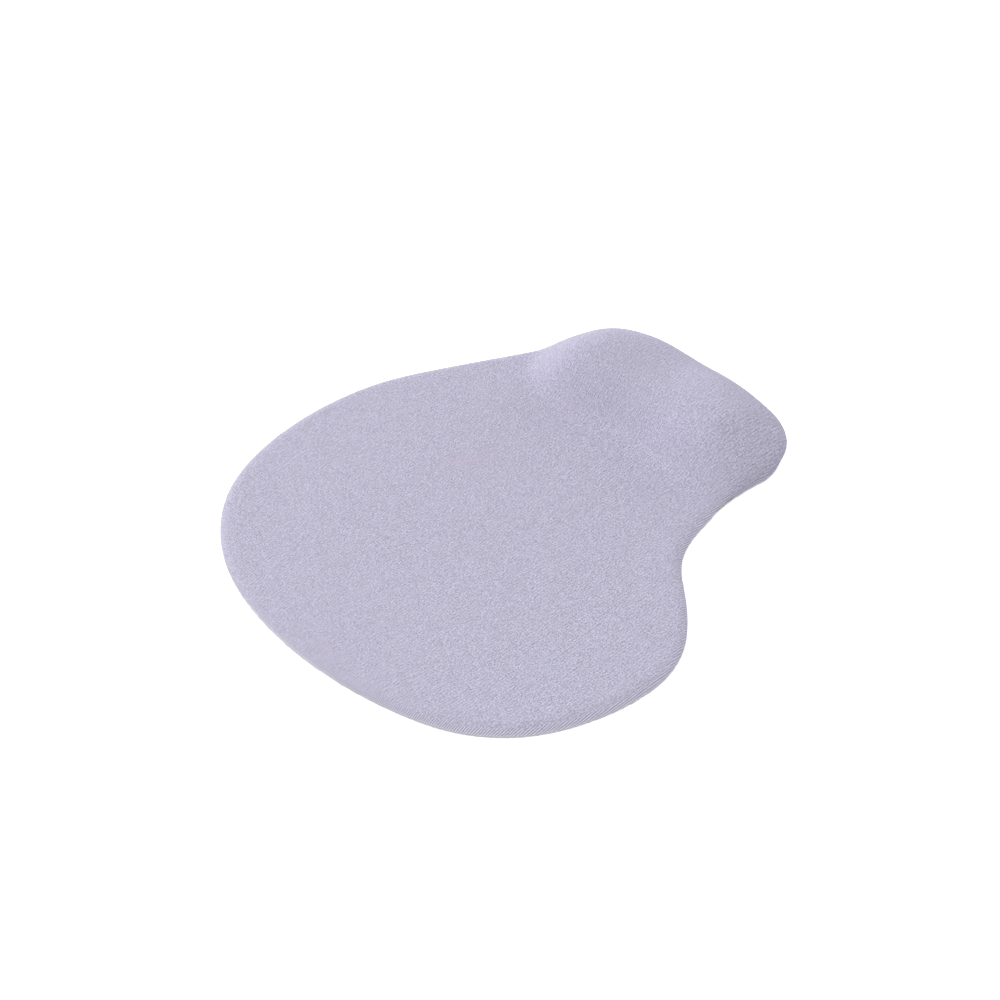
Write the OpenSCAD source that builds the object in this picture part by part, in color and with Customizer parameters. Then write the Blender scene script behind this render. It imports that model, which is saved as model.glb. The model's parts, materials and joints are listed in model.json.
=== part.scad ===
/* [Whole mat] */
// Width of the mat at the mouse area
mat_w = 209; // [190:1:230]
// Length of the mat, with the wrist rest
mat_l = 232; // [210:1:255]

/* [Mouse area] */
// Widest point on the thumb side, back from the far edge
thumb_side_back = 85; // [76:0.5:92]
// Thumb side shoulder, in from the widest point
thumb_shoulder_in = 10; // [8:0.5:14]
// Thumb side shoulder, back from the far edge
thumb_shoulder_back = 45; // [38:0.5:50]
// Way the edge faces at the thumb side shoulder, in degrees
thumb_shoulder_face = 154.5; // [149:0.5:158]
// Farthest point, in from the thumb side
far_point_in = 107.5; // [98:0.5:115]
// Little finger side shoulder, in from the widest point
little_shoulder_in = 22; // [18:0.5:26]
// Little finger side shoulder, back from the far edge
little_shoulder_back = 27; // [22:0.5:32]
// Way the edge faces at the little finger side shoulder, in degrees
little_shoulder_face = 45.5; // [38:0.5:50]
// Widest point on the little finger side, back from the far edge
little_side_back = 88.5; // [79:0.5:95]

/* [Waist] */
// Start of the nearly straight edge on the little finger side, in from the widest point
straight_start_in = 13; // [10:0.5:16]
// Start of that straight edge, up from the near edge
straight_start_up = 87; // [80:0.5:93]
// Way the edge faces at that start, in degrees
straight_start_face = -28; // [-33:0.5:-25]
// Deepest point of the thumb notch, in from the thumb side
notch_in = 44.5; // [40:0.5:48]
// Deepest point of the thumb notch, up from the near edge
notch_up = 52.5; // [46:0.5:56]
// Edge between the notch and the mouse area, in from the thumb side
notch_end_in = 28; // [24:0.5:31]
// Edge between the notch and the mouse area, up from the near edge
notch_end_up = 101; // [94:0.5:108]
// Way the edge faces there, in degrees
notch_end_face = -128.5; // [-136:0.5:-126]

/* [Wrist rest] */
// Start of the right corner, in from the little finger side
right_corner_in = 50.5; // [44:0.5:53]
// Start of the right corner, up from the near edge
right_corner_up = 18.5; // [17:0.5:24]
// Way the edge faces at the start of the right corner, in degrees
right_corner_face = -26; // [-31:0.5:-22]
// Nearest point, in from the thumb side
near_point_in = 105.5; // [96:0.5:111]
// End of the left corner, in from the thumb side
left_corner_in = 43; // [39:0.5:46]
// End of the left corner, up from the near edge
left_corner_up = 34; // [29:0.5:36]
// Way the edge faces at the end of the left corner, in degrees
left_corner_face = 165; // [158:0.5:172]

/* [Cushion] */
// Rise of the wrist rest above the mouse area
rest_h = 20.2; // [14:0.1:24]
// Distance over which the sides and near edge of the rest climb
side_run = 23; // [16:0.5:28]
// Extra distance over which the end on the little finger side climbs
right_end_ease = 12; // [0:0.5:20]
// Width over which that end's slower climb sets in
right_end_w = 41; // [30:1:60]
// Shape of that end's climb, from a round shoulder to a slanted one
right_end_shape = 0.9; // [0.5:0.05:1]
// Extra distance over which the end on the thumb side climbs
left_end_ease = 11.5; // [0:0.5:16]
// Width over which that end's slower climb sets in
left_end_w = 34; // [24:1:50]
// How far the end on the thumb side swells out over the outline
left_end_swell = 1.6; // [0:0.2:3]
// Distance over which the front of the rest climbs
front_run = 26; // [18:0.5:32]
// Half width of the hollow at the front foot
foot_ease = 5; // [2:0.25:7]
// Front foot of the rest at the middle of the mat, up from the near edge
front_up = 55.5; // [50:0.5:62]
// Radius of the front corner on the little finger side
front_corner_r = 27.5; // [18:0.5:34]
// Centre of that front corner, in from the little finger side
front_corner_in = 70.5; // [64:0.5:76]
// Middle of the saddle between the two lobes, in from the thumb side
saddle_in = 101; // [93:0.5:108]
// Half width of the saddle towards the little finger side
saddle_w = 22.5; // [14:0.5:30]
// Half width of the saddle towards the thumb side
saddle_left_w = 13.5; // [9:0.5:20]
// Depth of the saddle at the top
saddle_depth = 2.75; // [0.5:0.25:5]
// How far the saddle sets back the front foot of the rest
saddle_setback = 4; // [0:0.5:10]
// Half width of that setback
saddle_foot_w = 19; // [12:0.5:26]

/* [Layers] */
// Thickness of the mat at the mouse area, with every layer
mat_t = 5; // [4:0.1:7]
// Thickness of the knit cover
cover_t = 0.9; // [0.6:0.1:1.2]
// Run of the rounded rim, measured inward from the outline
rim_run = 4; // [3:0.1:5]
// Thickness of the grip base
base_t = 0.9; // [0.6:0.1:1.2]
// Thickness of the pale film that seals the foam
film_t = 0.4; // [0.2:0.1:0.6]
// Setback of the base from the outline
base_setback = 1.1; // [0.8:0.1:2]
// Setback of the film from the outline
film_setback = 0.5; // [0.3:0.1:1]
// Clearance between the cushion and the knit cover
cushion_gap = 0.5; // [0.4:0.1:0.8]
// Distance from the front foot of the rest back to the cushion's thin front edge
cushion_setback = 1; // [0:0.25:3]

/* [Hidden] */

// Longest chord between neighbouring outline points, at the mouse area and at the wrist rest, and widest turn
chord = 9.5;
rest_chord = 5;
turn = 11;
// Lowest turn of the rim, where the cover is trimmed under the edge
rim_tuck = -30;
rim_angles = [rim_tuck, rim_tuck / 2, 0, 22.5, 45, 67.5, 90];
// Share of the way from the inside of the rim to the spine at which each ring lies
spine_rings = [0.02, 0.045, 0.075, 0.11, 0.15, 0.2, 0.26, 0.33, 0.41, 0.5, 0.61, 0.73, 0.86];
// Rows across the cushion and its thinnest lip
cushion_rows = 10;
cushion_lip = 0.4;

left = -mat_w / 2;
right = mat_w / 2;
far = mat_l / 2;
near = -mat_l / 2;
film_z = base_t;
core_z = base_t + film_t;
core_top = mat_t - cover_t;
rim_z = (core_z + mat_t) / 2 - 0.3;
saddle_x = left + saddle_in;
front_corner_x = right - front_corner_in;

// Points on the outline, clockwise from the thumb side, each [x, y, way the edge faces in degrees]
stations = [
    [left, far - thumb_side_back, 180],
    [left + thumb_shoulder_in, far - thumb_shoulder_back, thumb_shoulder_face],
    [left + far_point_in, far, 90],
    [right - little_shoulder_in, far - little_shoulder_back, little_shoulder_face],
    [right, far - little_side_back, 0],
    [right - straight_start_in, near + straight_start_up, straight_start_face],
    [right - right_corner_in, near + right_corner_up, right_corner_face],
    [left + near_point_in, near, -90],
    [left + left_corner_in, near + left_corner_up, left_corner_face],
    [left + notch_in, near + notch_up, 180],
    [left + notch_end_in, near + notch_end_up, notch_end_face]
];

function wrap(turned) = turned - 360 * floor(turned / 360);
function facing(angle) = [cos(angle), sin(angle)];
function along(angle) = [sin(angle), -cos(angle)];

// Arc that leaves p, where the edge faces angle, and ends at q,
// as [centre, radius, first facing, sweep, chord], the radius negative where the edge is hollow
function arc_to(p, angle, q) =
    let (way = q - p, t = along(angle), found = 2 * atan2(cross(t, way), t * way))
    let (sweep = abs(found) < 0.001 ? -0.001 : found, r = -norm(way) / 2 / sin(sweep / 2))
    [p - facing(angle) * r, r, angle, sweep, norm(way)];

// Two arcs that join station a to station b, each leaving its station along the edge there
function arc_pair(a, b) =
    let (p = [a[0], a[1]], q = [b[0], b[1]], t = along(a[2]), u = along(b[2]), way = q - p)
    let (ahead = way * (t + u), square = way * way)
    let (arm = square / (ahead + sqrt(ahead * ahead + 2 * (1 - t * u) * square)))
    let (meet = (p + q + arm * (t - u)) / 2, first = arc_to(p, a[2], meet))
    [first, arc_to(meet, a[2] + first[3], q)];

arcs = [for (i = [0 : len(stations) - 1]) each arc_pair(stations[i], stations[(i + 1) % len(stations)])];

// Outline points, clockwise, each [x, y, normal x, normal y]
outline = [
    for (a = arcs)
        let (halfway = a[0] + facing(a[2] + a[3] / 2) * a[1], step = halfway[1] < near + front_up + front_run ? rest_chord : chord)
        let (pieces = ceil(max(a[4] / step, abs(a[3]) / turn)))
        for (j = [0 : pieces - 1])
            let (n = facing(a[2] + a[3] * j / pieces), p = a[0] + n * a[1])
            [p[0], p[1], n[0], n[1]]
];

function inset(p, d) = [p[0] - d * p[2], p[1] - d * p[3]];

// Distance from a point inside the outline to its nearest edge
function edge_distance(p) = min([
    for (a = arcs)
        let (out = sign(a[1]) * (p - a[0]), angle = atan2(out[1], out[0]))
        let (passed = wrap((a[3] < 0 ? a[2] - angle : angle - a[2]) + 0.1))
        if (passed <= abs(a[3]) + 0.2) sign(a[1]) * (abs(a[1]) - norm(out))
]);

function ramp(t) = let (s = min(1, max(0, t))) s * s * (3 - 2 * s);
function bell(x, w) = exp(-pow((x - saddle_x) / w, 2));
function saddle(x) = bell(x, x > saddle_x ? saddle_w : saddle_left_w);
function setback(x) = saddle_setback * bell(x, saddle_foot_w);
function corner_drop(x) =
    let (t = min(1, max(0, (x - front_corner_x) / front_corner_r)))
    front_corner_r * (1 - sqrt(1 - t * t));
// Line where the front of the rest meets the mouse area
function front_line(x) = near + front_up - setback(x) - corner_drop(x);
// Share of the climb at a distance behind that line, hollow at the foot and round above
function front_rise(x, room) =
    let (up = room < -foot_ease ? 0 : room < foot_ease ? pow(room + foot_ease, 2) / (4 * foot_ease) : room)
    let (t = min(1, up / (front_run - setback(x))))
    t * (2 - t);
// Rise of the rest at a point that lies d inside the outline
function rise(x, y, d) =
    let (right_end = ramp(1 - (right - right_corner_in - x) / right_end_w))
    let (left_end = ramp(1 - (x - left - left_corner_in) / left_end_w))
    let (t = min(1, max(0, d / (side_run + right_end_ease * right_end + left_end_ease * left_end))))
    let (swell = pow(t * (2 - t), 0.5 + (right_end_shape - 0.5) * right_end))
    (rest_h - saddle_depth * saddle(x)) * swell * front_rise(x, front_line(x) - y);
// How far the surface leans out over the outline there
function lean(x, up, d) =
    left_end_swell * ramp((saddle_x - x) / (saddle_x - left - left_corner_in)) * (1 - ramp(d / side_run))
    * sin(180 * min(1, up / rest_h));

// Rim section at an angle, for a layer that lies cut inside the outer surface
function rim_in(angle, cut) = cut + (rim_run - cut) * (1 - cos(angle));
function rim_up(angle, cut) =
    rim_z + sin(angle) * (angle < 0 ? (core_z - rim_z) / sin(rim_tuck) : mat_t - cut - rim_z);

// Rings of the outer surface moved in by cut, from the trimmed edge to the spine
spine_low = [(left + left_corner_in + right - right_corner_in) / 2, near + front_up * 0.6];
spine_high = [0, far - (thumb_side_back + little_side_back) / 2];
function spine_point(p) =
    let (t = min(1, max(0, (p[1] - spine_low[1]) / (spine_high[1] - spine_low[1]))))
    spine_low + (spine_high - spine_low) * t;
function skin(xy, d, z, cut, n) =
    let (up = rise(xy[0], xy[1], d - cut), out = lean(xy[0], up, d - cut))
    [xy[0] + n[2] * out, xy[1] + n[3] * out, z + up];
function skin_rings(cut) = concat(
    [for (a = rim_angles) let (d = rim_in(a, cut))
        [for (p = outline) skin(inset(p, d), d, rim_up(a, cut), cut, p)]],
    [for (t = spine_rings)
        [for (p = outline) let (edge = inset(p, rim_run), q = edge * (1 - t) + spine_point(edge) * t)
            skin(q, edge_distance(q), mat_t - cut, cut, p)]]
);

// Triangles that close a ring whose points start at index first, from its top to its bottom
function lid(ring, first) =
    let (ys = [for (p = ring) p[1]], n = len(ring))
    let (top = search(max(ys), ys)[0], down = (search(min(ys), ys)[0] - top + n) % n, up = n - down)
    let (rungs = max(down, up))
    [for (k = [0 : rungs - 1])
        let (d0 = floor(k * down / rungs), d1 = floor((k + 1) * down / rungs))
        let (u0 = floor(k * up / rungs), u1 = floor((k + 1) * up / rungs))
        let (a = first + (top + d0) % n, b = first + (top + d1) % n)
        let (c = first + (top - u0 + n) % n, d = first + (top - u1 + n) % n)
        each concat(a != b && a != c && b != c ? [[a, b, c]] : [], c != d && b != d && b != c ? [[b, d, c]] : [])];

// One closed solid through a run of rings, each clockwise and of as many points
module loft(rings) {
    n = len(rings[0]);
    last = len(rings) - 1;
    sides = [
        for (k = [0 : last - 1], i = [0 : n - 1])
            let (a = k * n + i, b = k * n + (i + 1) % n)
            each [[a, b, b + n], [a, b + n, a + n]]
    ];
    start = [for (f = lid(rings[0], 0)) [f[2], f[1], f[0]]];
    polyhedron([for (r = rings) each r], concat(start, sides, lid(rings[last], last * n)));
}

function reversed(list) = [for (i = [len(list) - 1 : -1 : 0]) list[i]];

module slab(setback, z, t) {
    translate([0, 0, z])
        linear_extrude(t)
            polygon([for (p = outline) inset(p, setback)]);
}

// Knit cover: one skin over the mat and the rest, rolled round the rim and trimmed under it
module knit_cover() {
    color([0.745, 0.733, 0.816])
        loft(concat(reversed(skin_rings(cover_t)), skin_rings(0)));
}

// Slow foam cushion with two lobes, laid on the mat's foam under the cover
module wrist_cushion() {
    cut = cover_t + cushion_gap;
    foot = [
        for (p = outline)
            let (q = inset(p, rim_run), room = front_line(q[0]) - cushion_setback - q[1])
            if (room > 0) [q, inset(p, rim_run - (rim_run - cut) * 0.75 * ramp(room / front_run)), p]
    ];
    n = len(foot);
    ends = [foot[0][0][0], foot[n - 1][0][0]];
    front = [
        for (i = [0 : n - 1])
            let (x = ends[0] + (ends[1] - ends[0]) * i / (n - 1))
            [x, front_line(x) - cushion_setback]
    ];
    top = [
        for (k = [0 : cushion_rows], i = [0 : n - 1])
            let (t = pow(k / cushion_rows, 1.5), p = foot[i][1] * (1 - t) + front[i] * t)
            let (q = skin(p, edge_distance(p), mat_t - cut, cut, foot[i][2]))
            [q[0], q[1], max(core_top + cushion_lip, q[2])]
    ];
    bottom = [
        for (k = [0 : cushion_rows], i = [0 : n - 1])
            let (t = pow(k / cushion_rows, 1.5), p = foot[i][0] * (1 - t) + front[i] * t)
            [p[0], p[1], core_top]
    ];
    size = len(top);
    cells = [
        for (k = [0 : cushion_rows - 1], i = [0 : n - 2])
            let (a = k * n + i)
            each [[a, a + 1, a + n + 1], [a, a + n + 1, a + n]]
    ];
    rim = concat(
        [for (i = [0 : n - 1]) i],
        [for (k = [1 : cushion_rows]) k * n + n - 1],
        [for (i = [n - 2 : -1 : 0]) cushion_rows * n + i],
        [for (k = [cushion_rows - 1 : -1 : 1]) k * n]
    );
    walls = [
        for (i = [0 : len(rim) - 1])
            let (a = rim[i], b = rim[(i + 1) % len(rim)])
            each [[a, b + size, b], [a, a + size, b + size]]
    ];
    under = [for (f = cells) [f[2] + size, f[1] + size, f[0] + size]];
    color([0.86, 0.86, 0.82])
        polyhedron(concat(top, bottom), concat(cells, walls, under));
}

// Foam sheet of the mat, with the rounded rim that the cover follows
module foam_core() {
    color([0.9, 0.89, 0.84])
        loft([
            for (a = rim_angles)
                [for (p = outline) let (q = inset(p, rim_in(a, cover_t))) [q[0], q[1], rim_up(a, cover_t)]]
        ]);
}

// Thin pale film between the foam and the base
module seal_film() {
    color([0.87, 0.86, 0.88])
        slab(film_setback, film_z, film_t);
}

// Dark sheet that grips the desk
module grip_base() {
    color([0.16, 0.16, 0.17])
        slab(base_setback, 0, base_t);
}

knit_cover();
wrist_cushion();
foam_core();
seal_film();
grip_base();
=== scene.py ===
# Wrist rest with a mouse area: knit cover, foam, sealing film and grip sheet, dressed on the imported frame
import json
import math
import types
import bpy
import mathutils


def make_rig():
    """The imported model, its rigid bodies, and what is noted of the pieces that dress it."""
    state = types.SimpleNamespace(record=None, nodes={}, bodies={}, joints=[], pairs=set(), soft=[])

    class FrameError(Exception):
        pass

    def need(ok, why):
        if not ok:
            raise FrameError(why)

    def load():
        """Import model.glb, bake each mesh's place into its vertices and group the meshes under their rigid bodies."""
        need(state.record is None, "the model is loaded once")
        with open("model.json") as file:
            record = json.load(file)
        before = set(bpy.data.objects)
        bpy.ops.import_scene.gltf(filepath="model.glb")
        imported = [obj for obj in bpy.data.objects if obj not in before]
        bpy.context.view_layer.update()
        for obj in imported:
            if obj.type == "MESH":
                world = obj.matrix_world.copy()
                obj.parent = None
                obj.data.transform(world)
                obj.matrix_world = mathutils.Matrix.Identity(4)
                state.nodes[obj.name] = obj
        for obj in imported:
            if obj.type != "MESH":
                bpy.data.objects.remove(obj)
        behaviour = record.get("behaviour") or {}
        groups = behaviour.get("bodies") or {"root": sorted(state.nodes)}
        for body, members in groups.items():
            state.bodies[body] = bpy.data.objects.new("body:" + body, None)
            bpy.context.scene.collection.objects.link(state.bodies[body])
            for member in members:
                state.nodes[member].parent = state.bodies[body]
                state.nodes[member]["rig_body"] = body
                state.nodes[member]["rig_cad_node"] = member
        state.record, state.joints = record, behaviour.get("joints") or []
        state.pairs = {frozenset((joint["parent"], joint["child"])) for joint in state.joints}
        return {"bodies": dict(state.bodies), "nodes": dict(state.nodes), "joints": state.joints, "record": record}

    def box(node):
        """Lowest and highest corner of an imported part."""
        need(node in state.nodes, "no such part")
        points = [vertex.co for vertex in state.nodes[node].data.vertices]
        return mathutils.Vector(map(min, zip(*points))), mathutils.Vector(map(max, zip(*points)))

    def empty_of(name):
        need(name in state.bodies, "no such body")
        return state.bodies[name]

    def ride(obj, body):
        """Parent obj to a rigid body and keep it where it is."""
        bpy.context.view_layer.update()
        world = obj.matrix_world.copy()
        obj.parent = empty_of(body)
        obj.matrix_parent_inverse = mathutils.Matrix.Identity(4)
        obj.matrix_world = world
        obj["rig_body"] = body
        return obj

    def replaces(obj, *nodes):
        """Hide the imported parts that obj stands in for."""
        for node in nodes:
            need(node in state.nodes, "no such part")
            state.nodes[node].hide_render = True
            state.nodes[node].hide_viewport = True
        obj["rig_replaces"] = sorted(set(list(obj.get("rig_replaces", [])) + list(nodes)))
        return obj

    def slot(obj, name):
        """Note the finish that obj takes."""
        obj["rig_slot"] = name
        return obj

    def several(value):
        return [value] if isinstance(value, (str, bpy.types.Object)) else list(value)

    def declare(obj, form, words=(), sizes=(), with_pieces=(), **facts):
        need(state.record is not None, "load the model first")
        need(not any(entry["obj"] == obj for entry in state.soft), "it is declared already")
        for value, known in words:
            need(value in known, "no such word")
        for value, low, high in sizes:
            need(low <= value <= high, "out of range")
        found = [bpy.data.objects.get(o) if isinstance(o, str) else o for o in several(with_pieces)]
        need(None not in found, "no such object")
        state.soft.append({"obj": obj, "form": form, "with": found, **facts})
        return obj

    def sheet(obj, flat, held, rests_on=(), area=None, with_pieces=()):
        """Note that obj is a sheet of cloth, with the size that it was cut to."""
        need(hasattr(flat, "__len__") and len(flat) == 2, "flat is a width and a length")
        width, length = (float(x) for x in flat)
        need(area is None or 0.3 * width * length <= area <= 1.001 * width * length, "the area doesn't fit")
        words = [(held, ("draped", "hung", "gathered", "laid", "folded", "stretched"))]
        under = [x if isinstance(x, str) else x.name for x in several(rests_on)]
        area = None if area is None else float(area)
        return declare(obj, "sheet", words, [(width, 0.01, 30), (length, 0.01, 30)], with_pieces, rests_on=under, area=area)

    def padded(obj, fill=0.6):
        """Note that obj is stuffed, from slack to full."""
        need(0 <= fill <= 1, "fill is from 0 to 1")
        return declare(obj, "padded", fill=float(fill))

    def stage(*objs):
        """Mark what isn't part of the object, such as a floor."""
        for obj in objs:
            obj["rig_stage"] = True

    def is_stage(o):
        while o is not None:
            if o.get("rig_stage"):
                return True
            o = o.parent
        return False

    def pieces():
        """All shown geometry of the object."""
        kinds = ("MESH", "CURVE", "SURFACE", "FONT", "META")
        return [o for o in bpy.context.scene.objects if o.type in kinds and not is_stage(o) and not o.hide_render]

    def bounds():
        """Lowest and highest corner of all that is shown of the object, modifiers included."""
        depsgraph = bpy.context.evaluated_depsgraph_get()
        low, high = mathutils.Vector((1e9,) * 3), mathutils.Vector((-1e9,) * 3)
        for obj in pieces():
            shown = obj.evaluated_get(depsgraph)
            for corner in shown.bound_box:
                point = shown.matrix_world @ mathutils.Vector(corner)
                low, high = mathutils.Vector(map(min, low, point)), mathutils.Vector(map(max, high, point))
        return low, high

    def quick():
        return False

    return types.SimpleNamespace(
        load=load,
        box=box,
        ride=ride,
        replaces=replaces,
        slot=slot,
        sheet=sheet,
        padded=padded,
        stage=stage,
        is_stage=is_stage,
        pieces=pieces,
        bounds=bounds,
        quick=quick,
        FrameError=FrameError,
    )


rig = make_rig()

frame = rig.load()

import bmesh
import bpy
from mathutils import Matrix, Vector, noise
from mathutils.bvhtree import BVHTree

scene = bpy.context.scene
nodes = frame["nodes"]
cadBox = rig.bounds()
mm = 0.001
print("frame: %d nodes, %.1f x %.1f x %.1f mm" % (len(nodes), *((cadBox[1] - cadBox[0]) / mm)))

shot = {
    "lens": 75.0,
    "sensor": 36.0,
    "turn": 224.111,  # degrees round the mat, 0 looks away from the user
    "height": 43.576,  # degrees above the desk
    "away": 0.86411,
    "aim": (0.01025, -0.00058, 0.0),
}
picture = {"w": 1000, "h": 1000}
imagePoints = {
    "thumbFarEdge": (220, None),
    "restTip": (788, 443),
    "restTop": (None, 328.7),
    "nearRim": (None, 738.3),
    "notch": (684, 578),
    "footLittleLobe": (600, 418),  # where the rest's front starts to rise from the mat
    "footSaddle": (659, 458),
    "footThumbLobe": (696, 481),
    "openHemNotch": (724, 506),
    "openHemSide": (281, 637),
}


def standRound(thing, aim, turn, height, away):  # a camera or lamp, turned towards the aim
    turn, height = math.radians(turn), math.radians(height)
    back = Vector((math.sin(turn) * math.cos(height), -math.cos(turn) * math.cos(height), math.sin(height)))
    scene.collection.objects.link(thing)
    thing.location = Vector(aim) + back * away
    thing.rotation_mode = "QUATERNION"
    thing.rotation_quaternion = (-back).to_track_quat("-Z", "Y")


def placeCamera():
    lens = bpy.data.cameras.new("photoCamera")
    lens.lens, lens.sensor_width, lens.sensor_fit = shot["lens"], shot["sensor"], "AUTO"
    lens.clip_start, lens.clip_end = 0.01, 20
    camera = bpy.data.objects.new("photoCamera", lens)
    standRound(camera, shot["aim"], shot["turn"], shot["height"], shot["away"])
    scene.camera = camera
    bpy.context.view_layer.update()
    return camera


camera = placeCamera()


def rayThrough(point):
    w, h, long = picture["w"], picture["h"], max(picture["w"], picture["h"])
    lens = camera.data
    way = Vector((
        point[0] - w / 2 + lens.shift_x * long,
        h / 2 - point[1] + lens.shift_y * long,
        -long * lens.lens / lens.sensor_width,
    ))
    return camera.matrix_world.translation, (camera.matrix_world.to_3x3() @ way).normalized()


def placeOn(tree, point):
    start, way = rayThrough(point)
    hit = tree.ray_cast(start, way)[0]
    if hit is None:  # a miss takes the place nearest the ray, looked for round the object's distance
        shares = [0.8 + 0.005 * step for step in range(80)]
        near = [tree.find_nearest(start + way * shot["away"] * share) for share in shares]
        hit = min((n for n in near if n[0]), key=lambda n: n[3])[0]
    return hit


def pictureOf(place):
    w, h, long = picture["w"], picture["h"], max(picture["w"], picture["h"])
    lens = camera.data
    seen = camera.matrix_world.inverted() @ place
    zoom = long * lens.lens / lens.sensor_width / -seen.z
    return seen.x * zoom + w / 2 - lens.shift_x * long, h / 2 + lens.shift_y * long - seen.y * zoom


print("camera placed")


def newPiece(name, mesh, finish, slot, node):
    piece = bpy.data.objects.new(name, mesh)
    scene.collection.objects.link(piece)
    mesh.materials.append(finishes[finish])
    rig.ride(piece, "root")
    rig.replaces(piece, node)
    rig.slot(piece, slot)
    return piece


def copyNode(name):
    bm = bmesh.new()
    bm.from_mesh(nodes[name].data)
    bmesh.ops.remove_doubles(bm, verts=bm.verts, dist=1e-6)
    return bm


def intoMesh(bm, name, smooth=True):
    mesh = bpy.data.meshes.new(name)
    bm.to_mesh(mesh)
    bm.free()
    mesh.polygons.foreach_set("use_smooth", [smooth] * len(mesh.polygons))
    return mesh


def openMesh(piece):
    bm = bmesh.new()
    bm.from_mesh(piece.data)
    return bm


def closeMesh(bm, piece):
    bm.to_mesh(piece.data)
    bm.free()


def applyModifiers(piece):
    bpy.context.view_layer.update()
    finished = bpy.data.meshes.new_from_object(piece.evaluated_get(bpy.context.evaluated_depsgraph_get()))
    piece.modifiers.clear()
    piece.data = finished


def evenMesh(piece, size):
    even = piece.modifiers.new("even", "REMESH")
    even.mode, even.voxel_size, even.use_smooth_shade = "VOXEL", size, True
    applyModifiers(piece)


def subdivide(piece, levels):
    fine = piece.modifiers.new("fine", "SUBSURF")
    fine.levels = fine.render_levels = levels
    applyModifiers(piece)


def between(value, start, end):  # 0 at the start, 1 at the end, level beyond them
    return min(1, max(0, (value - start) / (end - start)))


class Wire:  # a socket in a material, so that maths on it adds Math nodes
    def __init__(self, tree, socket=None):
        self.tree, self.socket = tree, socket

    def node(self, kind, settings={}, sockets={}, out=0):
        made = self.tree.nodes.new(kind)
        for name, value in settings.items():
            setattr(made, name, value)
        for name, value in sockets.items():
            if isinstance(value, Wire):
                self.tree.links.new(value.socket, made.inputs[name])
            else:
                made.inputs[name].default_value = value
        return Wire(self.tree, made.outputs[out] if made.outputs else None)

    def maths(self, operation, *others, clamp=False):
        values = dict(enumerate((self, *others)))
        return self.node("ShaderNodeMath", {"operation": operation, "use_clamp": clamp}, values)

    def between(self, start, end):
        return (self - start).maths("DIVIDE", end - start, clamp=True)

    def __add__(self, other):
        return self.maths("ADD", other)

    __radd__ = __add__

    def __sub__(self, other):
        return self.maths("SUBTRACT", other)

    def __rsub__(self, other):
        return self.node("ShaderNodeMath", {"operation": "SUBTRACT"}, {0: other, 1: self})

    def __mul__(self, other):
        return self.maths("MULTIPLY", other)

    __rmul__ = __mul__

    def __truediv__(self, other):
        return self.maths("DIVIDE", other)

    def __pow__(self, other):
        return self.maths("POWER", other)

    def __abs__(self):
        return self.maths("ABSOLUTE")


def newTree(block):  # for a material or a world
    block.use_nodes = True
    block.node_tree.nodes.clear()
    return Wire(block.node_tree)


def shade(wire, sockets):
    shader = wire.node("ShaderNodeBsdfPrincipled", {}, sockets)
    wire.node("ShaderNodeOutputMaterial", {}, {"Surface": shader})


def blend(factor, first, second):
    first, second = (tint if isinstance(tint, Wire) else (*tint, 1) for tint in (first, second))
    settings = {"data_type": "RGBA", "clamp_factor": True}
    return factor.node("ShaderNodeMix", settings, {0: factor, 6: first, 7: second}, 2)


def grain(wire, place, scale, detail):
    return wire.node("ShaderNodeTexNoise", {}, {"Vector": place, "Scale": scale, "Detail": detail})


def cells(wire, place, sockets):
    return wire.node("ShaderNodeTexVoronoi", {"feature": "F1"}, {"Vector": place, **sockets}, "Distance")


knit = {
    "colour": (0.515, 0.497, 0.631),
    "spread": 0.215,  # how far a loop's tone goes either side
    "wale": 0.69 * mm,  # between ribs
    "course": 0.56 * mm,  # between rows of loops
    "wander": (240.0, 0.5),  # scale of the ribs' wandering, and how many ribs it spans
    "slant": 0.5,  # how many rows a rib's legs rise
    "depth": 0.55,  # of the dip between loops, in the loop's own height
    "middle": 0.54,  # mean height, which keeps the colour's own tone
    # how much the loops' tops are painted lighter and the dips between them painted darker: painted highlight and
    # painted shade
    "loops": 0.2,
    "ply": 0.62,  # a fleck's width in ribs
    "run": 1.7,  # and its length in loops
    "ribFlecks": 0.38,
    "rowFlecks": 0.3,
    "fibre": (1.9, 1.5),  # flecks to a rib and to a row
    "fibres": 0.6,
    "twillWaves": 0.56,  # to each rib
    "twill": 0.05,
    "ribWaves": 0.83,  # to each rib, drawn a little wide so that they survive in a small picture
    "stretch": 0.8,  # ribs standing out where the cloth is pulled over an edge
    "steep": (0.985, 0.6517),  # the upward normal where that starts, and where it is full
    "rim": (6.5 * mm, 4.5 * mm),  # heights where it starts and is full
    "faint": 0.1,  # what is left of it on the rest
    "calm": 0.3,  # how much the grain sinks on the rest, where the cloth is drawn tight
    "rest": (5.5 * mm, 8 * mm),  # heights where the rest starts and is reached
    "blush": (0.56, 0.475, 0.60),
    "patches": (45.0, 0.6, 1.5),  # scale, how rare they are, strength
    "pale": (0.80, 0.785, 0.87),  # colour of the low sides at the desk: partly the cloth's own paling beside the cut edge, partly painted light that lifts their shade
    "lowSidePaintedLight": (5.2 * mm, 0.39),  # the height where it starts, and how pale the cloth gets at the desk, partly as painted light
    "fringe": (0.94, 0.925, 1.0),  # thread ends at the cut edge
    "ends": (0.6889, 0.9111),  # nearness to the edge where they start and are full
    "threads": 1.3,  # ends to each rib
    "endMix": (0.6, 0.6, 0.3),  # how much of them comes from the ribs, from chance and everywhere
    "bump": 0.06 * mm,
}


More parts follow.
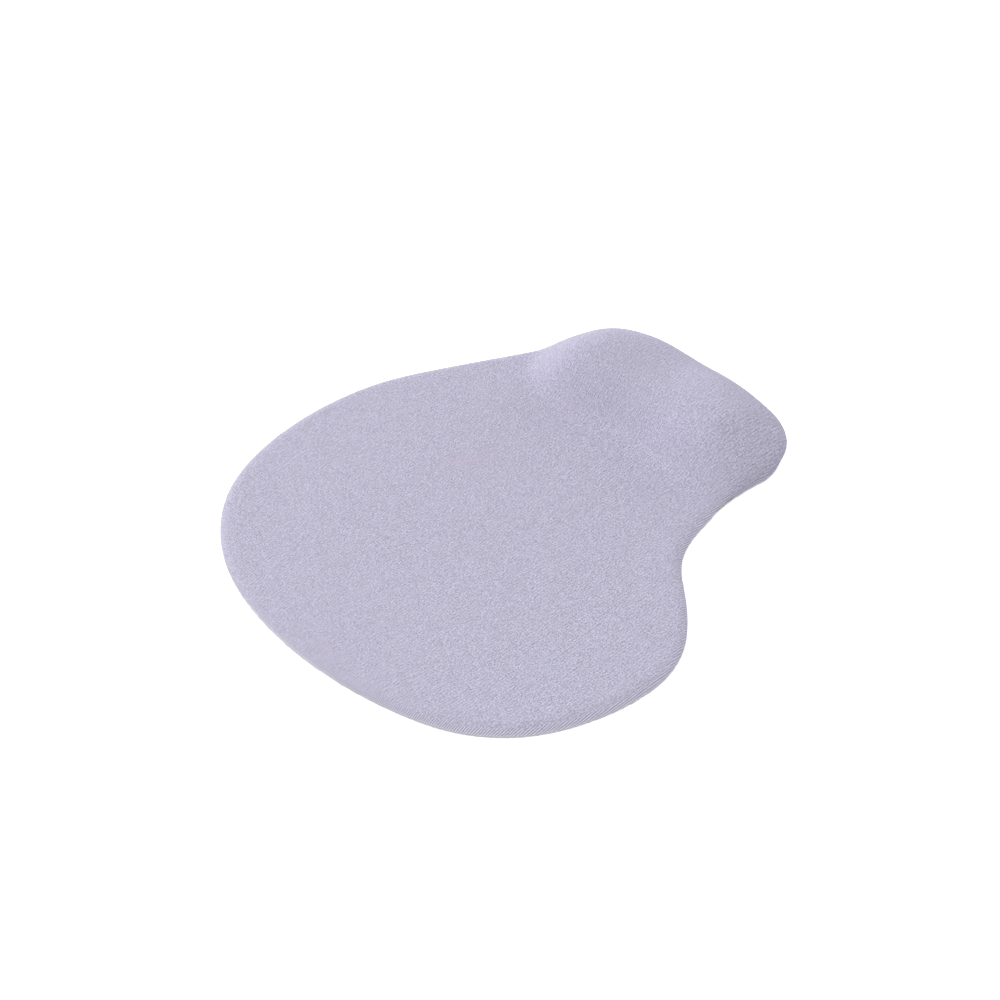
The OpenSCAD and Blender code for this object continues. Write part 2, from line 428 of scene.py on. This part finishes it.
def knitFinish():
    finish = bpy.data.materials.new("lavenderKnit")
    wire = newTree(finish)
    uv = wire.node("ShaderNodeUVMap", {"uv_map": "cloth"})
    place = wire.node("ShaderNodeTexCoord", out="Object")
    facing = wire.node("ShaderNodeSeparateXYZ", {}, {0: wire.node("ShaderNodeTexCoord", out="Normal")}, 2)
    low = wire.node("ShaderNodeSeparateXYZ", {}, {0: place}, 2)
    scale, span = knit["wander"]
    across = wire.node("ShaderNodeSeparateXYZ", {}, {0: uv}) * (1 / knit["wale"])
    across = across + (grain(wire, place, scale, 2.0) - 0.5) * span
    along = wire.node("ShaderNodeSeparateXYZ", {}, {0: uv}, 1) * (1 / knit["course"])
    leg = abs(across.maths("FRACT") - 0.5) * 2  # 0 in the middle of a rib, 1 between ribs
    row = along + leg * knit["slant"]
    loop = (row * (2 * math.pi)).maths("SINE") * 0.5 + 0.5
    height = (1 - leg ** 3) * (loop * knit["depth"] + (1 - knit["depth"]))

    def dots(column, line):  # one random number for each loop or run of loops, others a few columns on
        spot = wire.node("ShaderNodeCombineXYZ", {}, {0: column.maths("FLOOR"), 1: line.maths("FLOOR")})
        return wire.node("ShaderNodeTexWhiteNoise", {"noise_dimensions": "2D"}, {"Vector": spot})

    ply, run = across / knit["ply"], row / knit["run"]
    ribs = dots(ply, run) - (dots(ply + 1, run) + dots(ply - 1, run)) * 0.5
    band, rung = across / knit["run"], row / knit["ply"] + 40
    rows = dots(band, rung) - (dots(band, rung + 1) + dots(band, rung - 1)) * 0.5
    fibre = dots(across * knit["fibre"][0] + 7, along * knit["fibre"][1]) - 0.5
    twill = (across * (knit["twillWaves"] * 2 * math.pi)).maths("SINE")
    # the loops' height term is painted light and shade, lighter on the tops and darker in the dips; the flecks are the
    # yarn's own random tone
    tone = (height - knit["middle"]) * knit["loops"] + ribs * knit["ribFlecks"] + rows * knit["rowFlecks"]
    tone = tone + fibre * knit["fibres"] + twill * knit["twill"]
    calm = 1 - low.between(*knit["rest"]) * knit["calm"]
    rib = (across * (knit["ribWaves"] * 2 * math.pi)).maths("SINE")
    beside = low.between(*knit["rim"]).maths("MAXIMUM", knit["faint"])
    lines = rib * facing.between(*knit["steep"]) * beside * knit["stretch"]
    swing = knit["spread"] / knit["colour"][0]
    dark, light = ([c * (1 + way * swing) for c in knit["colour"]] for way in (-1, 1))
    colour = blend(tone * calm + lines + 0.5, dark, light)

    scale, rare, strength = knit["patches"]
    patch = grain(wire, place, scale, 2.0).maths("SUBTRACT", rare, clamp=True) * strength
    colour = blend(patch, colour, knit["blush"])
    # paler down the low sides towards the desk: partly the cloth's own paling, partly painted light against the shade
    # that falls there
    colour = blend(low.between(knit["lowSidePaintedLight"][0], 0) * knit["lowSidePaintedLight"][1], colour, knit["pale"])
    edge = wire.node("ShaderNodeAttribute", {"attribute_name": "hem"}, out="Fac").between(*knit["ends"])
    ends = dots(across * knit["threads"], row * knit["threads"])
    byRib, byChance, always = knit["endMix"]
    colour = blend(edge * (rib * byRib + ends * byChance + always), colour, knit["fringe"])
    bump = wire.node("ShaderNodeBump", {}, {"Strength": 0.5, "Distance": knit["bump"], "Height": height})
    shade(wire, {"Base Color": colour, "Roughness": 0.85, "Normal": bump, "Specular IOR Level": 0.12,
                 "Sheen Weight": 0.12, "Sheen Roughness": 0.45, "Sheen Tint": (0.93, 0.92, 1, 1)})
    return finish


foamLooks = {
    "slowFoam": {"colour": (0.79, 0.78, 0.70), "pores": 0.7 * mm},
    "matFoam": {"colour": (0.82, 0.80, 0.72), "pores": 0.5 * mm},
    "patches": 60.0,
    "shade": 0.78,  # the darkest share of the colour, for the patches and for the painted shade in the pores' pits
    "pits": 0.15 * mm,
}


def foamFinish(name):
    look = foamLooks[name]
    finish = bpy.data.materials.new(name)
    wire = newTree(finish)
    place = wire.node("ShaderNodeTexCoord", out="Object")
    pores = cells(wire, place, {"Scale": 1 / look["pores"]})
    mottle = grain(wire, place, foamLooks["patches"], 3.0)
    dark = [c * foamLooks["shade"] for c in look["colour"]]
    # the mottle is the foam's own uneven tone; darker in the pores' pits, where the bump sinks, is painted shade
    tint = blend(mottle * 0.5 + pores * 0.6, dark, look["colour"])
    bump = wire.node("ShaderNodeBump", {}, {"Strength": 0.7, "Distance": foamLooks["pits"], "Height": pores})
    shade(wire, {"Base Color": tint, "Roughness": 0.92, "Normal": bump, "Specular IOR Level": 0.2})
    return finish


film = {"dull": (0.90, 0.89, 0.93), "clear": (0.97, 0.96, 0.98), "haze": 300.0}


def filmFinish():
    finish = bpy.data.materials.new("paleFilm")
    wire = newTree(finish)
    haze = grain(wire, wire.node("ShaderNodeTexCoord", out="Object"), film["haze"], 2.0)
    tint = blend(haze, film["dull"], film["clear"])
    shade(wire, {"Base Color": tint, "Roughness": haze * 0.2 + 0.4, "Specular IOR Level": 0.4})
    return finish


rubber = {
    "dark": (0.08, 0.08, 0.086),
    "dusty": (0.15, 0.15, 0.158),
    "dust": 90.0,
    "pips": 450.0,
    "pipDepth": 0.2 * mm,
}


def gripFinish():
    finish = bpy.data.materials.new("gripRubber")
    wire = newTree(finish)
    place = wire.node("ShaderNodeTexCoord", out="Object")
    pips = cells(wire, place, {"Scale": rubber["pips"], "Randomness": 0.0})
    dust = grain(wire, place, rubber["dust"], 4.0)
    bump = wire.node("ShaderNodeBump", {}, {"Strength": 0.8, "Distance": rubber["pipDepth"], "Height": pips})
    shade(wire, {"Base Color": blend(dust, rubber["dark"], rubber["dusty"]), "Roughness": dust * 0.2 + 0.55,
                 "Normal": bump, "Specular IOR Level": 0.35})
    return finish


finishes = {
    "knit": knitFinish(),
    "slowFoam": foamFinish("slowFoam"),
    "matFoam": foamFinish("matFoam"),
    "film": filmFinish(),
    "grip": gripFinish(),
}
print("finishes made: " + ", ".join(finishes))

cover = {
    "thick": 0.9 * mm,
    "mesh": 1.05 * mm,
    "matTop": 5 * mm,
    "fold": math.radians(50),  # a sharper crease is the trimmed edge, past which the lining starts
    "skirt": 0.4 * mm,  # height that the skin is drawn down to before it is trimmed
    "loft": 0.4 * mm,  # how far the pile stands off the cloth's own line at the sides
    "drawn": 0.45 * mm,  # how far it is drawn in instead at the notch, where the trimmed edge stands open
    "tip": (-0.9 * mm, 1.3 * mm, 20 * mm),  # the rest's corner: drawn in at the foot, out above, and its reach
    "tipRise": (2 * mm, 9 * mm),  # heights where it is all foot, and where it is all above
    "cut": 2.1 * mm,  # height of the trimmed edge where it stands open
    "shut": 0.85 * mm,  # and where it comes down to the desk
    "open": {"openHemNotch": (6 * mm, 0), "openHemSide": (22 * mm, 0.6 * mm)},  # reach, and curl outward
    "fade": (11 / 7, 6 / 7),  # shares of the reach where such a stretch ends, and where it is full
    "hemRun": 4 * mm,  # how far up the pull to the edge reaches
    "worn": 0.6,  # how much thinner the cloth is at the edge
    "fray": (0.22 * mm, 900),  # depth, and waves to a metre
    "unstretched": 0.75,  # how much of the cloth map comes from the cloth laid flat, the rest from above
    "ahead": -20 * mm,  # the cloth map is turned and sized to suit the mat beyond this line
}


def outerSkin():
    bm = copyNode("knit_cover")
    top = max(bm.faces, key=lambda f: f.calc_center_median().z)
    kept, waiting = {top}, [top]
    while waiting:
        for edge in waiting.pop().edges:
            if edge.calc_face_angle(0) < cover["fold"]:
                for f in edge.link_faces:
                    if f not in kept:
                        kept.add(f)
                        waiting.append(f)
    bmesh.ops.delete(bm, geom=[f for f in bm.faces if f not in kept], context="FACES")
    skirt = bmesh.ops.extrude_edge_only(bm, edges=[e for e in bm.edges if e.is_boundary])["geom"]
    for v in skirt:
        if isinstance(v, bmesh.types.BMVert):
            v.co.z = cover["skirt"]
    # the mat's level top goes, and is closed again after the subdivision
    flat = [f for f in bm.faces if f.normal.z > 0.9999]
    flat = [f for f in flat if all(abs(v.co.z - cover["matTop"]) < 2e-6 for v in f.verts)]
    bmesh.ops.delete(bm, geom=flat, context="FACES")
    bmesh.ops.join_triangles(bm, faces=bm.faces, angle_face_threshold=math.radians(60),
                             angle_shape_threshold=math.radians(80))
    print("cover skin: %d faces, %d not four-sided" % (len(bm.faces), sum(len(f.verts) != 4 for f in bm.faces)))
    return bm


def closeSkin(piece):
    bm = openMesh(piece)
    bmesh.ops.holes_fill(bm, edges=[e for e in bm.edges if e.is_boundary], sides=0)
    bmesh.ops.triangulate(bm, faces=[f for f in bm.faces if len(f.verts) > 4])
    closeMesh(bm, piece)


def plump(piece):  # the pile at the sides, the edge drawn in at the notch, and the rest's corner
    bm = openMesh(piece)
    bm.normal_update()
    tree = BVHTree.FromBMesh(bm)
    tip, gap = placeOn(tree, imagePoints["restTip"]), placeOn(tree, imagePoints["openHemNotch"])
    gapReach = cover["open"]["openHemNotch"][0]
    aside = camera.matrix_world.to_3x3() @ Vector((1, 0, 0))
    foot, brow, reach = cover["tip"]
    for v in bm.verts:
        out = Vector((v.normal.x, v.normal.y, 0))
        shut = between((v.co.xy - gap.xy).length / gapReach, 0.5, 1.5)
        side = cover["loft"] * shut - cover["drawn"] * (1 - shut) * max(0, 1 - v.co.z / cover["matTop"])
        rise = between(v.co.z, *cover["tipRise"])
        near = math.exp(-((v.co.xy - tip.xy).length / reach) ** 2) * max(0, out.dot(aside))
        v.co += out * side + aside * near * (foot + (brow - foot) * rise * rise * (3 - 2 * rise))
    closeMesh(bm, piece)


def trimHem(piece):
    bm = openMesh(piece)
    bmesh.ops.bisect_plane(bm, geom=bm.verts[:] + bm.edges[:] + bm.faces[:], dist=1e-6,
                           plane_co=(0, 0, cover["cut"]), plane_no=(0, 0, -1), clear_outer=True)
    bm.normal_update()
    tree = BVHTree.FromBMesh(bm)
    spots = [(placeOn(tree, imagePoints[name]), reach, curl) for name, (reach, curl) in cover["open"].items()]
    full = piece.vertex_groups.new(name="full")
    hem = bm.verts.layers.float.new("hem")  # 1 at the cut edge
    fray, waves = cover["fray"]
    weights = []
    for v in bm.verts:
        near = between(v.co.z, cover["cut"] + cover["hemRun"], cover["cut"])
        lifts = [between((v.co.xy - spot.xy).length / reach, *cover["fade"]) for spot, reach, curl in spots]
        curled = max(lift * curl for lift, (spot, reach, curl) in zip(lifts, spots))
        drop = (cover["cut"] - cover["shut"]) * (1 - max(lifts)) + fray * noise.noise(v.co * waves)
        weights.append(1 - cover["worn"] * near ** 4)
        v.co.z -= drop * near ** 2
        v.co += Vector((v.normal.x, v.normal.y, 0)) * curled * near ** 12
        v[hem] = near
    closeMesh(bm, piece)
    for k, weight in enumerate(weights):
        full.add([k], weight, "REPLACE")


def layOut(piece):  # the cloth map in metres, its ribs running away from the user
    for other in bpy.context.view_layer.objects:
        other.select_set(other == piece)
    bpy.context.view_layer.objects.active = piece
    piece.data.uv_layers.new(name="cloth")
    bpy.ops.object.mode_set(mode="EDIT")
    bpy.ops.mesh.select_all(action="SELECT")
    bpy.ops.uv.unwrap(method="CONFORMAL", margin=0)
    bpy.ops.object.mode_set(mode="OBJECT")
    piece.select_set(False)
    layer = piece.data.uv_layers["cloth"].data
    seen = [complex(*piece.data.vertices[loop.vertex_index].co.xy) for loop in piece.data.loops]
    flat = [complex(*corner.uv) for corner in layer]
    sample = [k for k in range(0, len(seen), 5) if seen[k].imag > cover["ahead"]]  # every fifth is enough
    midFlat, midSeen = (sum(spots[k] for k in sample) / len(sample) for spots in (flat, seen))
    turn = sum((flat[k] - midFlat).conjugate() * (seen[k] - midSeen) for k in sample)
    turn /= sum(abs(flat[k] - midFlat) ** 2 for k in sample)
    for corner, f, s in zip(layer, flat, seen):
        spot = cover["unstretched"] * ((f - midFlat) * turn + midSeen) + (1 - cover["unstretched"]) * s
        corner.uv = (spot.real, spot.imag)


def makeCover():
    piece = newPiece("knitCover", intoMesh(outerSkin(), "knitCover"), "knit", "knit", "knit_cover")
    subdivide(piece, 2)
    closeSkin(piece)
    evenMesh(piece, cover["mesh"])
    plump(piece)
    trimHem(piece)
    layOut(piece)
    shell = piece.modifiers.new("shell", "SOLIDIFY")
    shell.thickness, shell.offset, shell.vertex_group = cover["thick"], -1, "full"
    applyModifiers(piece)
    return piece


coverPiece = makeCover()
print("knit cover: %d faces" % len(coverPiece.data.polygons))

foam = {
    "sheetMesh": 1.6 * mm,
    "cushionMesh": 4 * mm,
    "shy": 0.35 * mm,  # the cushion starts this much smaller and swells back
    "most": 0.45 * mm,  # how far the swelling may move a point, because the cover holds it
    "pressure": 4.0,
    "mass": 0.3,
    "steps": 5,
    "frames": 20,
}


def swell(piece):  # air pressure inside the skin, held back by the cover
    before = [v.co.copy() for v in piece.data.vertices]
    cloth = piece.modifiers.new("swell", "CLOTH")
    cloth.settings.use_pressure, cloth.settings.uniform_pressure_force = True, foam["pressure"]
    cloth.settings.effector_weights.gravity = 0
    cloth.settings.quality, cloth.settings.mass = foam["steps"], foam["mass"]
    cloth.point_cache.frame_start, cloth.point_cache.frame_end = 1, foam["frames"]
    for frameNumber in range(1, foam["frames"] + 1):
        scene.frame_set(frameNumber)
    applyModifiers(piece)
    scene.frame_set(1)
    for v, old in zip(piece.data.vertices, before):
        way = v.co - old
        if way.length > foam["most"]:
            v.co = old + way.normalized() * foam["most"]


def foamPiece(name, node, finish, slot, size):
    piece = newPiece(name, intoMesh(copyNode(node), name), finish, slot, node)
    evenMesh(piece, size)
    return piece


def makeCushion():
    size = foam["cushionMesh"] / 2 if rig.quick() else foam["cushionMesh"]
    piece = foamPiece("restCushion", "wrist_cushion", "slowFoam", "slow_foam", size)
    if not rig.quick():
        for v in piece.data.vertices:
            v.co -= v.normal * foam["shy"]
        swell(piece)
        subdivide(piece, 1)
    return piece


foamSheet = foamPiece("foamSheet", "foam_core", "matFoam", "mat_foam", foam["sheetMesh"])
restCushion = makeCushion()
print("foam: %d and %d faces" % (len(foamSheet.data.polygons), len(restCushion.data.polygons)))

grip = {
    "skin": 0.35 * mm,  # depth of the moulded pattern on the underside
    "sunk": 0.05 * mm,  # how far a diamond's foot is let into the sheet
    "turn": 45,
    "pitch": 4.0 * mm,
    "groove": 1.1 * mm,  # between diamonds
    "slope": 0.25 * mm,  # how far their sides lean in
    "margin": 4.5 * mm,  # left bare along the rim
}


def makeGrip():  # the sheet with a field of low diamonds to grip the desk
    bm = copyNode("grip_base")
    for v in bm.verts:  # the underside goes up by the pattern's depth
        if v.co.z < 0.01 * mm:
            v.co.z = grip["skin"]
    bm.normal_update()
    tree = BVHTree.FromBMesh(bm)
    rim = bm.copy()
    bmesh.ops.delete(rim, geom=[f for f in rim.faces if abs(f.normal.z) > 0.5], context="FACES")
    rimTree = BVHTree.FromBMesh(rim)
    rim.free()

    low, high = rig.box("grip_base")
    middle, long = (Vector(low) + Vector(high)) / 2, max(high[0] - low[0], high[1] - low[1])
    count = int(long * 1.5 / grip["pitch"])  # enough to cover the sheet when it is turned
    field = bmesh.new()
    foot = grip["skin"] + grip["sunk"]
    turned = Matrix.Rotation(math.radians(grip["turn"]), 3, "Z")
    bmesh.ops.create_grid(field, x_segments=count, y_segments=count, size=count * grip["pitch"] / 2)
    bmesh.ops.rotate(field, verts=field.verts, cent=(0, 0, 0), matrix=turned)
    bmesh.ops.translate(field, verts=field.verts, vec=(middle.x, middle.y, foot))
    bmesh.ops.reverse_faces(field, faces=field.faces)
    outside = []
    for f in field.faces:
        spot = f.calc_center_median()
        spot.z = -mm
        within = tree.ray_cast(spot, Vector((0, 0, 1)))[0] is not None
        spot.z = grip["skin"]
        if not within or rimTree.find_nearest(spot)[3] < grip["margin"]:
            outside.append(f)
    bmesh.ops.delete(field, geom=outside, context="FACES")
    gaps = bmesh.ops.inset_individual(field, faces=field.faces, thickness=grip["groove"] / 2,
                                      use_even_offset=True)
    bmesh.ops.delete(field, geom=gaps["faces"], context="FACES")
    bmesh.ops.inset_individual(field, faces=field.faces, thickness=grip["slope"], depth=foot,
                               use_even_offset=True)
    diamonds = intoMesh(field, "diamonds", False)
    bm.from_mesh(diamonds)
    bpy.data.meshes.remove(diamonds)
    return newPiece("gripSheet", intoMesh(bm, "gripSheet", False), "grip", "grip", "grip_base")


gripSheet = makeGrip()
nodes["seal_film"].data.materials.clear()
nodes["seal_film"].data.materials.append(finishes["film"])
print("grip sheet: %d faces" % len(gripSheet.data.polygons))

studio = {
    "floor": (0.80, 0.80, 0.80),
    "half": 6,  # half the floor's width
    "drop": 0.2 * mm,  # how far the floor lies under the object
    "lift": 0.55,  # brings the floor that the camera sees up to white outside the shadow
    "world": 0.386,
    "away": 1.6,
    "wide": 0.9,
    "lamps": {"window": (90, 15, 16.1), "top": (210, 60, 12.1), "rear": (0, 15, 5.4)},  # turn, height, power
}


def shownToCamera(wire):  # 1 where the camera looks at it, also in a reflection or through glass
    seen = wire.node("ShaderNodeLightPath", out="Is Camera Ray")
    for ray in ("Is Glossy Ray", "Is Transmission Ray"):
        seen = seen.maths("MAXIMUM", wire.node("ShaderNodeLightPath", out=ray))
    return seen


def makeFloor():
    bm = bmesh.new()
    bmesh.ops.create_grid(bm, x_segments=1, y_segments=1, size=studio["half"])
    floor = bpy.data.objects.new("floor", intoMesh(bm, "floor"))
    scene.collection.objects.link(floor)
    floor.location.z = -studio["drop"]
    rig.stage(floor)
    finish = bpy.data.materials.new("paleFloor")
    wire = newTree(finish)
    seen = shownToCamera(wire)
    lit = wire.node("ShaderNodeBsdfDiffuse", {}, {"Color": blend(seen, studio["floor"], (1, 1, 1))})
    pale = wire.node("ShaderNodeEmission", {}, {"Color": (1, 1, 1, 1), "Strength": seen * studio["lift"]})
    solid = wire.node("ShaderNodeAddShader", {}, {0: lit, 1: pale})
    # from below it is clear, and so is its upper side behind that, which lets light reach the underside
    through = wire.node("ShaderNodeLightPath", out="Transparent Depth")
    through = through.maths("ADD", wire.node("ShaderNodeNewGeometry", out="Backfacing"), clamp=True)
    both = wire.node("ShaderNodeMixShader", {}, {0: through, 1: solid, 2: wire.node("ShaderNodeBsdfTransparent")})
    wire.node("ShaderNodeOutputMaterial", {}, {"Surface": both})
    floor.data.materials.append(finish)


def makeLight():
    scene.world = bpy.data.worlds.new("studio")
    wire = newTree(scene.world)
    level = shownToCamera(wire) * (1 - studio["world"]) + studio["world"]
    glow = wire.node("ShaderNodeBackground", {}, {"Color": (1, 1, 1, 1), "Strength": level})
    wire.node("ShaderNodeOutputWorld", {}, {"Surface": glow})
    for name, (turn, height, power) in studio["lamps"].items():
        lamp = bpy.data.lights.new(name, "AREA")
        lamp.energy, lamp.size, lamp.shape = power, studio["wide"], "DISK"
        standRound(bpy.data.objects.new(name, lamp), (0, 0, 0), turn, height, studio["away"])


makeFloor()
makeLight()
scene.view_settings.view_transform = "Standard"
print("studio lit")

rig.padded(foamSheet, fill=1)
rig.padded(restCushion, fill=0.9)
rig.sheet(coverPiece, flat=(0.21, 0.236), held="stretched", rests_on=["foamSheet", "restCushion"], area=0.0366)

outline = {"notchRows": (520, 640), "rowStep": 3, "footNormal": (0.83, 0.87)}  # pixels, and the upward normal


def plain(box):
    return [[round(c, 6) for c in corner] for corner in box]


def pointsShown():  # where the finished cover shows each image point's feature
    eye = camera.matrix_world.translation
    seen = [(*pictureOf(v.co), v) for v in coverPiece.data.vertices if v.normal.dot(eye - v.co) > 0]
    shown = {
        "thumbFarEdge": (min(x for x, y, v in seen), None),
        "restTip": max((x, y) for x, y, v in seen),
        "restTop": (None, min(y for x, y, v in seen)),
        "nearRim": (None, max(y for x, y, v in seen)),
    }
    side = {}
    for x, y, v in seen:  # the right-hand outline, row by row
        if outline["notchRows"][0] < y < outline["notchRows"][1]:
            row = int(y / outline["rowStep"])
            side[row] = max(side.get(row, (0, 0)), (x, y))
    shown["notch"] = min(side.values())
    low, high = outline["footNormal"]
    foot = [(x, y) for x, y, v in seen if low < v.normal.z < high and v.co.z > cover["matTop"] + mm]
    for name in ("footLittleLobe", "footSaddle", "footThumbLobe"):
        at = imagePoints[name]
        shown[name] = min(foot, key=lambda p: math.hypot(p[0] - at[0], p[1] - at[1]))
    bm = openMesh(coverPiece)
    tree = BVHTree.FromBMesh(bm)
    bm.free()
    for name, (reach, curl) in cover["open"].items():
        spot = placeOn(tree, imagePoints[name])
        near = [(x, y) for x, y, v in seen
                if (v.co.xy - spot.xy).length < reach / 2 and v.co.z < cover["cut"] + mm]
        shown[name] = [sum(p[k] for p in near) / max(1, len(near)) for k in (0, 1)]
    return {name: [None if a is None or p is None else round(p - a, 2) for a, p in zip(at, shown[name])]
            for name, at in imagePoints.items()}


try:
    with open("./points.json", "w") as file:
        json.dump(pointsShown(), file, indent=1)
except Exception as fault:  # never stops the script
    print("points not written: %s" % fault)

with open("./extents.json", "w") as file:
    json.dump({"cad": plain(cadBox), "visual": plain(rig.bounds())}, file)

print("sizes written")
